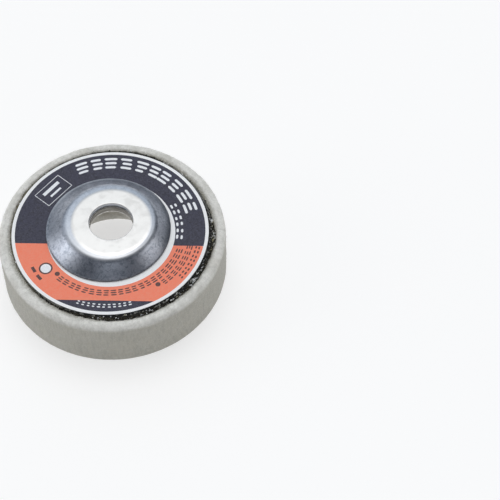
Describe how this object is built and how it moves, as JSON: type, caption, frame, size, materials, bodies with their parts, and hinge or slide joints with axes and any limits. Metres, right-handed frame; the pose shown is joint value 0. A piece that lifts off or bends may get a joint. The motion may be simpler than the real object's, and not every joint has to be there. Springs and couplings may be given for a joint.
{
  "type": "felt polishing wheel",
  "caption": "Round felt polishing wheel with a deep centre recess, a raised-centre backing plate, a printed ring label and a two-part aluminium hub with a plain bore.",
  "frame": {"origin": "centre of the felt's working face, which lies in the plane z = 0", "axes": "+Z along the spindle axis, from the working face to the mounting face of the hub; +X and +Y are any two directions across the wheel, with the label's colour boundary parallel to X"},
  "size_m": [0.05, 0.05, 0.0172],
  "materials": {
    "felt": "pressed wool felt, off-white, dull",
    "adhesive": "cured black resin adhesive, lumpy and shiny",
    "glass_cloth": "woven glass cloth soaked in black resin",
    "resin_plate": "moulded glass cloth and resin, dark grey, semi-gloss",
    "label_paper": "coated paper printed dark slate and orange with a pale border",
    "pressed_aluminium": "pressed, smooth, slightly stained",
    "scuffed_aluminium": "bright, scuffed"
  },
  "bodies": {
    "root": {"felt_ring": "felt", "bond_adhesive": "adhesive", "facing_cloth": "glass_cloth", "backing_plate": "resin_plate", "paper_label": "label_paper", "hub_flange": "pressed_aluminium", "hub_ring": "scuffed_aluminium"}
  },
  "joints": []
}
